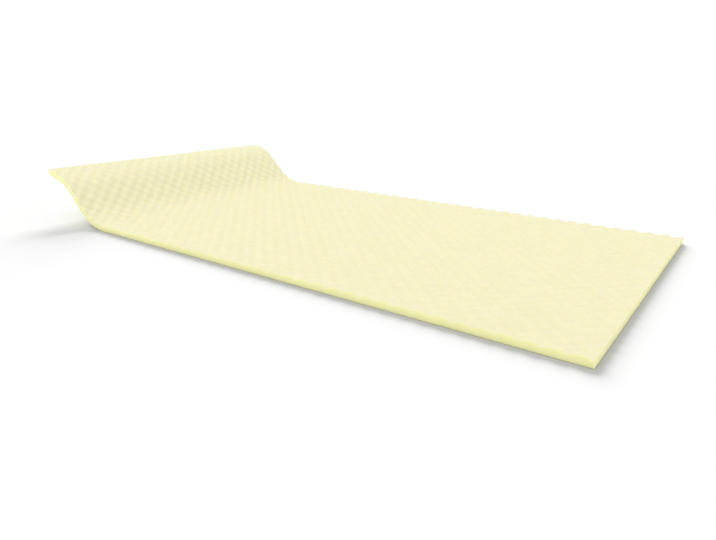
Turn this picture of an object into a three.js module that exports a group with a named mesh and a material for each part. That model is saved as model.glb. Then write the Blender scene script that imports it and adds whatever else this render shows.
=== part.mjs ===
// A mattress topper of convoluted foam, the kind called egg crate: one pad with a flat underside and a
// top of rounded peaks and dimples, cut square at its four sides. It lies flat for most of its length,
// and its head end lifts off the surface in an S-shaped curve that ends in an almost level lip.
//
// Millimetres. X runs along the pad, with the foot end at +X and the lifted head end at -X, Y runs
// across it, and Z is up. The origin is at the middle of the pad's outline, on the surface under it.

import * as THREE from 'three';

// The foam as it was cut, laid out flat.
const CUT_LENGTH = 1905;
const CUT_WIDTH = 965;
const PEAK_THICKNESS = 22;
const DIMPLE_THICKNESS = 16.5;

// Peaks and dimples take turns on rows across the foam and on columns along it, half a pitch apart. The
// foot is sawn along the first row, both long sides along the outer columns, and the head midway
// between two rows, where the foam has one thickness.
const HALF_PITCHES_ALONG = 80.5;
const HALF_PITCHES_ACROSS = 41;

// The underside's line from the end of the level stretch to the head's edge, along the -Y side and along
// the +Y side, a row for each section. A section turns by its angle over its length, upwards where the
// angle is positive. The foam lies straight from one side's line to the other's.
const NEAR_SIDE_LIFT = [
  { section: 'heel', length: 141, turnDegrees: 48 },
  { section: 'slope', length: 60, turnDegrees: 0 },
  { section: 'shoulder', length: 78, turnDegrees: -33 },
  { section: 'lip', length: 66, turnDegrees: 0 },
];
const FAR_SIDE_LIFT = [
  { section: 'heel', length: 120, turnDegrees: 44 },
  { section: 'slope', length: 100, turnDegrees: 0 },
  { section: 'shoulder', length: 90, turnDegrees: -46 },
  { section: 'lip', length: 30, turnDegrees: 0 },
];

const FOAM_COLOUR = '#f3f0bf';
const FOAM_ROUGHNESS = 0.95;

// The places of the rows, in half pitches from the foot. The last one is the head's edge.
const rows = [...Array(Math.ceil(HALF_PITCHES_ALONG)).keys(), HALF_PITCHES_ALONG];

// A zigzag that is 1 at even places, -1 at odd places and straight between them.
function swing(place) {
  return 1 - 2 * Math.abs(place - 2 * Math.round(place / 2));
}

// A column's place is counted in half pitches too, from the -Y side.
function thicknessAt(row, column) {
  const fullness = (1 - swing(row) * swing(column)) / 2;
  return THREE.MathUtils.lerp(DIMPLE_THICKNESS, PEAK_THICKNESS, fullness);
}

// The underside's line at a distance from the foot end: how far along and how high it has come there,
// and the angle at which it climbs.
function undersideAt(distance, lift) {
  const levelLength = CUT_LENGTH - lift.reduce((sum, row) => sum + row.length, 0);
  const point = { along: Math.min(distance, levelLength), height: 0, climb: 0 };
  let left = distance - levelLength;
  for (const { length, turnDegrees } of lift) {
    if (left <= 0) {
      break;
    }
    const step = Math.min(left, length);
    const turn = THREE.MathUtils.degToRad(turnDegrees) * step / length;
    const chord = turn === 0 ? step : step * Math.sin(turn / 2) / (turn / 2);
    point.along += chord * Math.cos(point.climb + turn / 2);
    point.height += chord * Math.sin(point.climb + turn / 2);
    point.climb += turn;
    left -= step;
  }
  return point;
}

const footX = Math.max(
  undersideAt(CUT_LENGTH, NEAR_SIDE_LIFT).along,
  undersideAt(CUT_LENGTH, FAR_SIDE_LIFT).along,
) / 2;

// A point above one side's line, at a height above the underside, square to it.
function sidePoint(row, lift, y, height) {
  const under = undersideAt(CUT_LENGTH * row / HALF_PITCHES_ALONG, lift);
  return new THREE.Vector3(
    footX - under.along + height * Math.sin(under.climb),
    y,
    under.height + height * Math.cos(under.climb),
  );
}

// A point of the pad at a row's and a column's place, at a height above the underside.
function padPoint(row, column, height) {
  const near = sidePoint(row, NEAR_SIDE_LIFT, -CUT_WIDTH / 2, height);
  const far = sidePoint(row, FAR_SIDE_LIFT, CUT_WIDTH / 2, height);
  return near.lerp(far, column / HALF_PITCHES_ACROSS);
}

function foamPadGeometry() {
  const points = [];
  const triangles = [];
  const lastRow = rows.length - 1;
  const lastColumn = HALF_PITCHES_ACROSS;

  // Each row holds its points on top, from side to side, and then the two corners of its underside.
  const pointsInRow = lastColumn + 3;
  const top = (i, column) => i * pointsInRow + column;
  const nearCorner = (i) => top(i, lastColumn + 1);
  const farCorner = (i) => top(i, lastColumn + 2);
  for (const row of rows) {
    for (let column = 0; column <= lastColumn; column++) {
      points.push(padPoint(row, column, thicknessAt(row, column)));
    }
    points.push(padPoint(row, 0, 0));
    points.push(padPoint(row, lastColumn, 0));
  }

  for (let i = 0; i < lastRow; i++) {
    const next = i + 1;

    // The top is split from dimple to dimple, so that each peak is a pyramid of four faces.
    for (let column = 0; column < lastColumn; column++) {
      const here = top(i, column);
      const across = top(i, column + 1);
      const ahead = top(next, column);
      const opposite = top(next, column + 1);
      if (thicknessAt(rows[i], column) > thicknessAt(rows[i], column + 1)) {
        triangles.push(here, across, ahead, ahead, across, opposite);
      } else {
        triangles.push(here, opposite, ahead, here, across, opposite);
      }
    }

    triangles.push(nearCorner(i), nearCorner(next), farCorner(next));
    triangles.push(nearCorner(i), farCorner(next), farCorner(i));

    triangles.push(nearCorner(i), top(i, 0), top(next, 0));
    triangles.push(nearCorner(i), top(next, 0), nearCorner(next));

    triangles.push(farCorner(i), top(next, lastColumn), top(i, lastColumn));
    triangles.push(farCorner(i), farCorner(next), top(next, lastColumn));
  }

  // The sawn faces at the foot and at the head, each bounded by its row's outline.
  for (const [i, facesHead] of [[0, false], [lastRow, true]]) {
    const outline = [];
    const indices = [];
    for (let column = lastColumn; column >= 0; column--) {
      outline.push(new THREE.Vector2(column, thicknessAt(rows[i], column)));
      indices.push(top(i, column));
    }
    outline.push(new THREE.Vector2(0, 0), new THREE.Vector2(lastColumn, 0));
    indices.push(nearCorner(i), farCorner(i));
    for (const face of THREE.ShapeUtils.triangulateShape(outline, [])) {
      const [a, b, c] = face.map((corner) => indices[corner]);
      triangles.push(a, facesHead ? c : b, facesHead ? b : c);
    }
  }

  const geometry = new THREE.BufferGeometry().setFromPoints(points);
  geometry.setIndex(triangles);
  geometry.computeVertexNormals();
  return geometry;
}

const foamPad = new THREE.Mesh(
  foamPadGeometry(),
  new THREE.MeshStandardMaterial({
    color: FOAM_COLOUR,
    roughness: FOAM_ROUGHNESS,
    metalness: 0,
    flatShading: true,
  }),
);
foamPad.name = 'foam_pad';

const mattressTopper = new THREE.Group();
mattressTopper.add(foamPad);

export default mattressTopper;
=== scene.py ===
import math

import bmesh
import bpy
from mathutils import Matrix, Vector


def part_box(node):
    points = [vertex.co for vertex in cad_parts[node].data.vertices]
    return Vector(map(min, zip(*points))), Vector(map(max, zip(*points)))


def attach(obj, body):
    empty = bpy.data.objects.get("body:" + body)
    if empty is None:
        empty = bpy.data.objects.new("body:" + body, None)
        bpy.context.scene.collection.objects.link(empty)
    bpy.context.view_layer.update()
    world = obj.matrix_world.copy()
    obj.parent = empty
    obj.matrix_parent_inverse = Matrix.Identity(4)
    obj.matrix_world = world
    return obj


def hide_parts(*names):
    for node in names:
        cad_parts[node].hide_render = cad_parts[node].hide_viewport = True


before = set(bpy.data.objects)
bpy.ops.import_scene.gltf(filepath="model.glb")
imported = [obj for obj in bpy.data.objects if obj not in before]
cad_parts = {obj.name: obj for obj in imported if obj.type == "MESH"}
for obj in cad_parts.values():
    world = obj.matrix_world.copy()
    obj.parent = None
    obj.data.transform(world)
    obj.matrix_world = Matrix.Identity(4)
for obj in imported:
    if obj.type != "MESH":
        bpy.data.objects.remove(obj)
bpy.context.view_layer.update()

# The lie of the pad
# The topper is one length of foam, cut to the size of a single bed. It lies level from its foot end,
# and its head end is lifted: the foam bends up at the heel, climbs a slope and bends back over a
# shoulder into a lip. Its two long sides don't bend quite alike, so each has a line of its own.

foam_low, foam_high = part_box("foam_pad")

CUT_LENGTH = 1.905
CUT_WIDTH = foam_high.y - foam_low.y

# Length in metres and turn in degrees of the heel, the slope, the shoulder and the lip.
NEAR_SIDE_LIFT = [(0.141, 48), (0.060, 0), (0.078, -33), (0.066, 0)]
FAR_SIDE_LIFT = [(0.120, 44), (0.100, 0), (0.090, -46), (0.030, 0)]
LINE_STEP = 0.002


def side_line(name, y, lift):
    """The lower edge of one side, from the foot end to the head, as a curve object."""
    level_length = CUT_LENGTH - sum(length for length, turn in lift)
    x, z, climb = foam_high.x, 0.0, 0.0
    places = [(x, y, z)]
    for length, turn in [(level_length, 0), *lift]:
        count = math.ceil(length / LINE_STEP)
        step = length / count
        half_turn = math.radians(turn) / count / 2
        for _ in range(count):
            climb += half_turn
            x -= step * math.cos(climb)
            z += step * math.sin(climb)
            climb += half_turn
            places.append((x, y, z))
    curve = bpy.data.curves.new(name, "CURVE")
    curve.dimensions = "3D"
    spline = curve.splines.new("POLY")
    spline.points.add(len(places) - 1)
    for point, place in zip(spline.points, places):
        point.co = (*place, 1)
    line = bpy.data.objects.new(name, curve)
    bpy.context.scene.collection.objects.link(line)
    return line


near_line = side_line("near_side_line", foam_low.y, NEAR_SIDE_LIFT)
far_line = side_line("far_side_line", foam_high.y, FAR_SIDE_LIFT)

# The profile-cut foam
# Convoluted foam is squeezed between two rollers with staggered pegs and split by a blade, and springs
# back with a top of rounded peaks and dimples on an even base. They take turns on rows and columns
# half a pitch apart. The sheet is then sawn square, at the foot along a row, at the long sides along
# columns, and at the head midway between two rows.

PEAK_THICKNESS = 0.022
DIMPLE_THICKNESS = 0.0165
HALF_PITCHES_ALONG = 80.5
HALF_PITCHES_ACROSS = 41
POINTS_PER_HALF_PITCH = 5
SIDE_ROWS = 3

# How much blunter the peaks and dimples are than plain waves.
BLUNTNESS = 0.15

# Foam is never cut quite evenly: its thickness varies in lumps, and its sides wander over a longer way.
UNEVEN_HEIGHT = 0.0012
LUMPS_PER_METRE = 14.0
LUMP_DETAIL = 2.0
UNEVEN_CUT = 0.0022
WANDERS_PER_METRE = 2.2
WANDER_DETAIL = 1.0
LUMP_SEED = 3
WANDER_SEED_STEP = 10


class Wire:
    """An output socket. Arithmetic on wires and numbers adds Math nodes to the wire's node tree."""

    def __init__(self, socket):
        self.socket = socket

    def calculate(self, operation, *values):
        node = self.socket.id_data.nodes.new("ShaderNodeMath")
        node.operation = operation
        for slot, value in zip(node.inputs, values):
            plug(slot, value)
        return Wire(node.outputs[0])

    def __add__(self, other):
        return self.calculate("ADD", self, other)

    def __radd__(self, other):
        return self.calculate("ADD", other, self)

    def __sub__(self, other):
        return self.calculate("SUBTRACT", self, other)

    def __rsub__(self, other):
        return self.calculate("SUBTRACT", other, self)

    def __mul__(self, other):
        return self.calculate("MULTIPLY", self, other)

    def __rmul__(self, other):
        return self.calculate("MULTIPLY", other, self)

    def __truediv__(self, other):
        return self.calculate("DIVIDE", self, other)

    def cos(self):
        return self.calculate("COSINE", self)


def plug(slot, value):
    """Links a wire into an input socket, or sets the socket to a plain value."""
    if isinstance(value, Wire):
        slot.id_data.links.new(value.socket, slot)
    else:
        slot.default_value = value


class Bench:
    """A node tree being built."""

    # The Mix node's numbers for its two inputs and its output, for each kind of data.
    MIX_SLOTS = {"VECTOR": (4, 5, 1), "RGBA": (6, 7, 2)}

    def __init__(self, tree):
        self.tree = tree

    def node(self, kind, settings=None, sockets=None, output=0):
        """A new node's output as a wire, or several as a list. Sockets are named or numbered."""
        node = self.tree.nodes.new(kind)
        for name, value in (settings or {}).items():
            setattr(node, name, value)
        for name, value in (sockets or {}).items():
            plug(node.inputs[name], value)
        if isinstance(output, list):
            return [Wire(node.outputs[name]) for name in output]
        return Wire(node.outputs[output]) if node.outputs else node

    def mix(self, kind, share, first, second, blend="MIX"):
        """A blend of two vectors or colours, with the second one's share."""
        first_slot, second_slot, result = self.MIX_SLOTS[kind]
        return self.node(
            "ShaderNodeMix",
            {"data_type": kind, "blend_type": blend},
            {0: share, first_slot: first, second_slot: second},
            result,
        )

    def vector(self, operation, first, second):
        """Vector arithmetic. The second value is a number for SCALE and a vector for the rest."""
        second_slot = "Scale" if operation == "SCALE" else 1
        return self.node(
            "ShaderNodeVectorMath", {"operation": operation}, {0: first, second_slot: second}
        )

    def noise(self, place, seed, scale, detail):
        """Smooth random values around 0.5 for each place, fixed by the seed."""
        return self.node(
            "ShaderNodeTexNoise",
            {"noise_dimensions": "4D"},
            {"Vector": place, "W": seed, "Scale": scale, "Detail": detail},
            "Fac",
        )


def profile_cut_tree(inputs):
    """The node tree that cuts the foam, with an input for each name and socket type."""
    tree = bpy.data.node_groups.new("profile cut foam", "GeometryNodeTree")
    tree.is_modifier = True
    tree.interface.new_socket("Foam", in_out="OUTPUT", socket_type="NodeSocketGeometry")
    for name, kind in inputs.items():
        tree.interface.new_socket(name, in_out="INPUT", socket_type=kind)
    bench = Bench(tree)
    (
        length, width, peak, dimple, half_pitches_along, half_pitches_across,
        points_per_half_pitch, side_rows, uneven_height, uneven_cut, seed, near_side, far_side, finish,
    ) = bench.node("NodeGroupInput", output=list(inputs))

    # The uncut block, with its bottom face at -0.5 and its top face at 0.5.
    block = bench.node(
        "GeometryNodeMeshCube",
        sockets={
            "Size": bench.node("ShaderNodeCombineXYZ", sockets={"X": length, "Y": width, "Z": 1.0}),
            "Vertices X": half_pitches_along * points_per_half_pitch + 1,
            "Vertices Y": half_pitches_across * points_per_half_pitch + 1,
            "Vertices Z": side_rows + 1,
        },
        output="Mesh",
    )
    x, y, z = bench.node(
        "ShaderNodeSeparateXYZ",
        sockets={"Vector": bench.node("GeometryNodeInputPosition")},
        output=["X", "Y", "Z"],
    )
    from_foot = length / 2 - x
    across = y + width / 2
    level = z + 0.5

    # The staggered peaks: each is full height where one wave crests and the other is in a trough.
    flat_place = bench.node("ShaderNodeCombineXYZ", sockets={"X": from_foot, "Y": across})
    row_wave = (from_foot * math.pi * half_pitches_along / length).cos()
    column_wave = (across * math.pi * half_pitches_across / width).cos()
    wave = row_wave * column_wave
    fullness = 0.5 - wave * (1 + BLUNTNESS - BLUNTNESS * wave * wave) * 0.5
    lumps = bench.noise(flat_place, seed, LUMPS_PER_METRE, LUMP_DETAIL)
    thickness = dimple + (peak - dimple) * fullness + uneven_height * (lumps - 0.5)
    height = thickness * level

    # The finish needs to know where each point was in the flat foam, and how near it is to a peak,
    # which sets the painted shade of the dimples.
    foam_place = bench.node(
        "ShaderNodeCombineXYZ", sockets={"X": from_foot, "Y": across, "Z": height}
    )
    for name, kind, value in (
        ("foam_place", "FLOAT_VECTOR", foam_place),
        ("level", "FLOAT", level),
        ("fullness", "FLOAT", fullness),
    ):
        block = bench.node(
            "GeometryNodeStoreNamedAttribute",
            {"data_type": kind, "domain": "POINT"},
            {"Geometry": block, "Name": name, "Value": value},
        )

    # Each point has a place above either side's line, and lies its own share of the way between them.
    side_places = []
    for side in (near_side, far_side):
        line = bench.node(
            "GeometryNodeObjectInfo", {"transform_space": "ORIGINAL"}, {"Object": side}, "Geometry"
        )
        foot_of_point, tangent = bench.node(
            "GeometryNodeSampleCurve",
            {"mode": "LENGTH"},
            {"Curves": line, "Length": from_foot},
            output=["Position", "Tangent"],
        )
        upright = bench.vector("CROSS_PRODUCT", (0, 1, 0), tangent)
        rise = bench.vector("SCALE", upright, height)
        side_places.append(bench.vector("ADD", foot_of_point, rise))
    place = bench.mix("VECTOR", across / width, *side_places)
    wander = bench.noise(flat_place, seed + WANDER_SEED_STEP, WANDERS_PER_METRE, WANDER_DETAIL)
    sideways = bench.node("ShaderNodeCombineXYZ", sockets={"Y": uneven_cut * (wander - 0.5)})
    foam = bench.node(
        "GeometryNodeSetPosition",
        sockets={"Geometry": block, "Position": bench.vector("ADD", place, sideways)},
    )
    foam = bench.node("GeometryNodeSetShadeSmooth", sockets={0: foam})
    foam = bench.node("GeometryNodeRealizeInstances", sockets={0: foam})
    foam = bench.node("GeometryNodeSetMaterial", sockets={"Geometry": foam, "Material": finish})
    bench.node("NodeGroupOutput", sockets={"Foam": foam})
    return tree


# The foam's finish
# Open-cell polyurethane foam, coloured pale yellow right through. Its cells are about a millimetre
# wide, and light that goes into it comes out a deeper yellow, most of all in the dimples. That is
# painted into the colour: the dimples get a painted shade, slightly darker and a deeper yellow than the
# peaks, and the sides are painted lighter and a deeper yellow, as painted light and shade.

PEAK_COLOUR = (0.765, 0.74, 0.492, 1)
# The dimple colour is painted shade: slightly darker and a deeper yellow than the peaks.
DIMPLE_PAINTED_SHADE_COLOUR = (0.752, 0.727, 0.472, 1)
# The side colour is painted light and shade: lighter than the top, to make up for the shade on the
# sides, and a deeper yellow, as the sides look in shade.
SIDE_PAINTED_LIGHT_COLOUR = (0.90, 0.89, 0.46, 1)

# A point's level runs from 0 at the underside to 1 on top. The sides' painted light and shade begins
# just below the top.
SIDE_LIGHT_FROM_LEVEL = 0.99
FULL_SIDE_LIGHT_LEVEL = 0.9

FOAM_ROUGHNESS = 0.9
FOAM_SPECULAR = 0.15
SUBSURFACE_SHARE = 0.3
SUBSURFACE_REACH = 0.004
SUBSURFACE_REACH_BY_COLOUR = (1.0, 0.85, 0.4)

CELLS_PER_METRE = 850
HOLES_PER_METRE = 330
MOTTLES_PER_METRE = 26.0
MOTTLE_DETAIL = 4.0
MOTTLE_ROUGHNESS = 0.6

# The shade multiplies the colour. It is lighter or darker with the mottling, and darker between cells.
PLAIN_SHADE = 0.965
MOTTLE_SHADE = 0.07
CELL_SHADE = 0.05

# Heights of the finest relief in metres, and the share of it that the light shows.
CELL_RELIEF = 0.0004
HOLE_RELIEF = 0.0004
MOTTLE_RELIEF = 0.0006
RELIEF_STRENGTH = 0.6

foam_finish = bpy.data.materials.new("pale_yellow_foam")
foam_finish.use_nodes = True
foam_finish.node_tree.nodes.clear()
bench = Bench(foam_finish.node_tree)
foam_place = bench.node(
    "ShaderNodeAttribute", {"attribute_name": "foam_place"}, output="Vector"
)
fullness = bench.node("ShaderNodeAttribute", {"attribute_name": "fullness"}, output="Fac")
level = bench.node("ShaderNodeAttribute", {"attribute_name": "level"}, output="Fac")
cells, holes = [
    bench.node(
        "ShaderNodeTexVoronoi",
        sockets={"Vector": foam_place, "Scale": number_per_metre},
        output="Distance",
    )
    for number_per_metre in (CELLS_PER_METRE, HOLES_PER_METRE)
]
mottle = bench.node(
    "ShaderNodeTexNoise",
    sockets={
        "Vector": foam_place,
        "Scale": MOTTLES_PER_METRE,
        "Detail": MOTTLE_DETAIL,
        "Roughness": MOTTLE_ROUGHNESS,
    },
    output="Fac",
)
# Painted shade: the colour darkens and turns a deeper yellow from the peaks down into the dimples.
top_colour_with_painted_dimple_shade = bench.mix("RGBA", fullness, DIMPLE_PAINTED_SHADE_COLOUR, PEAK_COLOUR)
# Painted light and shade on the sides: from just below the top they take their own lighter, deeper
# yellow colour.
painted_side_light = bench.node(
    "ShaderNodeMapRange",
    sockets={
        "Value": level,
        "From Min": SIDE_LIGHT_FROM_LEVEL,
        "From Max": FULL_SIDE_LIGHT_LEVEL,
        "To Min": 0.0,
        "To Max": 1.0,
    },
)
colour_with_painted_light = bench.mix("RGBA", painted_side_light, top_colour_with_painted_dimple_shade, SIDE_PAINTED_LIGHT_COLOUR)
shade = PLAIN_SHADE + MOTTLE_SHADE * mottle - CELL_SHADE * cells
grey_shade = bench.node(
    "ShaderNodeCombineColor", sockets={"Red": shade, "Green": shade, "Blue": shade}
)
cell_relief = cells * CELL_RELIEF + holes * HOLE_RELIEF + mottle * MOTTLE_RELIEF
skin = bench.node(
    "ShaderNodeBsdfPrincipled",
    sockets={
        "Base Color": bench.mix("RGBA", 1.0, colour_with_painted_light, grey_shade, blend="MULTIPLY"),
        "Roughness": FOAM_ROUGHNESS,
        "Specular IOR Level": FOAM_SPECULAR,
        "Subsurface Weight": SUBSURFACE_SHARE,
        "Subsurface Radius": SUBSURFACE_REACH_BY_COLOUR,
        "Subsurface Scale": SUBSURFACE_REACH,
        "Normal": bench.node(
            "ShaderNodeBump",
            sockets={"Strength": RELIEF_STRENGTH, "Distance": 1.0, "Height": cell_relief},
        ),
    },
)
bench.node("ShaderNodeOutputMaterial", sockets={"Surface": skin})

# The pad itself
# One piece of foam with nothing sewn or glued to it. The node tree cuts and lays it, and its sides get
# the slightly soft edge that sawn foam has.

EDGE_SOFTNESS = 0.0014
EDGE_SEGMENTS = 2
EDGE_ANGLE = math.radians(48)

pad = bpy.data.objects.new("foam_topper", bpy.data.meshes.new("foam_topper"))
bpy.context.scene.collection.objects.link(pad)
cut_inputs = {
    "Length": ("NodeSocketFloat", CUT_LENGTH),
    "Width": ("NodeSocketFloat", CUT_WIDTH),
    "Peak thickness": ("NodeSocketFloat", PEAK_THICKNESS),
    "Dimple thickness": ("NodeSocketFloat", DIMPLE_THICKNESS),
    "Half pitches along": ("NodeSocketFloat", HALF_PITCHES_ALONG),
    "Half pitches across": ("NodeSocketInt", HALF_PITCHES_ACROSS),
    "Points per half pitch": ("NodeSocketInt", POINTS_PER_HALF_PITCH),
    "Side rows": ("NodeSocketInt", SIDE_ROWS),
    "Uneven height": ("NodeSocketFloat", UNEVEN_HEIGHT),
    "Uneven cut": ("NodeSocketFloat", UNEVEN_CUT),
    "Seed": ("NodeSocketInt", LUMP_SEED),
    "Near side": ("NodeSocketObject", near_line),
    "Far side": ("NodeSocketObject", far_line),
    "Finish": ("NodeSocketMaterial", foam_finish),
}
cut = pad.modifiers.new("profile cut", "NODES")
cut.node_group = profile_cut_tree({name: kind for name, (kind, value) in cut_inputs.items()})
for item in cut.node_group.interface.items_tree:
    if item.in_out == "INPUT":
        cut[item.identifier] = cut_inputs[item.name][1]
cut_mesh = bpy.data.meshes.new_from_object(
    pad.evaluated_get(bpy.context.evaluated_depsgraph_get())
)
pad.modifiers.remove(cut)
pad.data = cut_mesh
for line in (near_line, far_line):
    bpy.data.objects.remove(line)

# The underside has no relief, so its squares are joined into strips that run from side to side.
UNDERSIDE_LEVEL = 0.01
SAME_COLUMN = 0.001
shape = bmesh.new()
shape.from_mesh(cut_mesh)
level_layer = shape.verts.layers.float["level"]
place_layer = shape.verts.layers.float_vector["foam_place"]
underside = {
    face for face in shape.faces if all(v[level_layer] < UNDERSIDE_LEVEL for v in face.verts)
}
strip_joins = [
    edge
    for edge in shape.edges
    if all(face in underside for face in edge.link_faces)
    and abs(edge.verts[0][place_layer].y - edge.verts[1][place_layer].y) < SAME_COLUMN
]
bmesh.ops.dissolve_edges(shape, edges=strip_joins, use_verts=True)
shape.to_mesh(cut_mesh)
shape.free()

soft_edge = pad.modifiers.new("soft edge", "BEVEL")
soft_edge.width = EDGE_SOFTNESS
soft_edge.segments = EDGE_SEGMENTS
soft_edge.limit_method = "ANGLE"
soft_edge.angle_limit = EDGE_ANGLE

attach(pad, "root")
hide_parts("foam_pad")

# The surface, the light and the camera
# The pad lies on a plain pale surface in an even white surround, with a broad soft light overhead. A
# second lamp, behind the pad on its head's side, lights the surface alone and gives the pad's shadow.

FLOOR_HALF = 40
FLOOR_COLOUR = (0.425, 0.425, 0.425, 1)
FLOOR_ROUGHNESS = 0.9
SURROUND_COLOUR = (1, 1, 1, 1)
SURROUND_STRENGTH = 1.0

floor_finish = bpy.data.materials.new("pale_floor")
floor_finish.use_nodes = True
floor_shader = floor_finish.node_tree.nodes["Principled BSDF"]
floor_shader.inputs["Base Color"].default_value = FLOOR_COLOUR
floor_shader.inputs["Roughness"].default_value = FLOOR_ROUGHNESS
floor_shader.inputs["Specular IOR Level"].default_value = 0.0
floor_mesh = bpy.data.meshes.new("floor")
floor_mesh.from_pydata(
    [
        (-FLOOR_HALF, -FLOOR_HALF, 0),
        (FLOOR_HALF, -FLOOR_HALF, 0),
        (FLOOR_HALF, FLOOR_HALF, 0),
        (-FLOOR_HALF, FLOOR_HALF, 0),
    ],
    [],
    [(0, 1, 2, 3)],
)
floor_mesh.materials.append(floor_finish)
floor = bpy.data.objects.new("floor", floor_mesh)
bpy.context.scene.collection.objects.link(floor)

world = bpy.data.worlds.new("studio")
world.use_nodes = True
bpy.context.scene.world = world
world.node_tree.nodes["Background"].inputs["Color"].default_value = SURROUND_COLOUR
world.node_tree.nodes["Background"].inputs["Strength"].default_value = SURROUND_STRENGTH

# Each lamp's strength, its spread in degrees and the side that it shines from.
lamps = {}
for name, energy, spread, side in (
    ("overhead", 0.85, 40, (0.08, -0.40, 0.91)),
    ("shadow_lamp", 7.8, 36, (-0.55, 0.70, 0.45)),
):
    lamp = bpy.data.lights.new(name, "SUN")
    lamp.energy = energy
    lamp.angle = math.radians(spread)
    lamps[name] = bpy.data.objects.new(name, lamp)
    lamps[name].rotation_euler = Vector(side).to_track_quat("Z", "Y").to_euler()
    bpy.context.scene.collection.objects.link(lamps[name])
surface_only = bpy.data.collections.new("surface_only")
surface_only.objects.link(floor)
lamps["shadow_lamp"].light_linking.receiver_collection = surface_only

bpy.context.scene.view_settings.view_transform = "Standard"

# The camera stands off the near corner of the foot end, and looks down along the pad.
SENSOR_WIDTH = 36
LENS_LENGTH = 28.73
OFF_THE_CORNER = Vector((0.193, -0.967, 0.497))
VIEW_TURN = math.radians(36.3)
VIEW_DROP = math.radians(19.18)

near_foot_corner = Vector((foam_high.x, foam_low.y, 0))
camera = bpy.data.cameras.new("camera")
camera.sensor_width = SENSOR_WIDTH
camera.lens = LENS_LENGTH
eye = bpy.data.objects.new("camera", camera)
eye.location = near_foot_corner + OFF_THE_CORNER
view_direction = Vector(
    (
        -math.sin(VIEW_TURN) * math.cos(VIEW_DROP),
        math.cos(VIEW_TURN) * math.cos(VIEW_DROP),
        -math.sin(VIEW_DROP),
    )
)
eye.rotation_euler = view_direction.to_track_quat("-Z", "Y").to_euler()
bpy.context.scene.collection.objects.link(eye)
bpy.context.scene.camera = eye
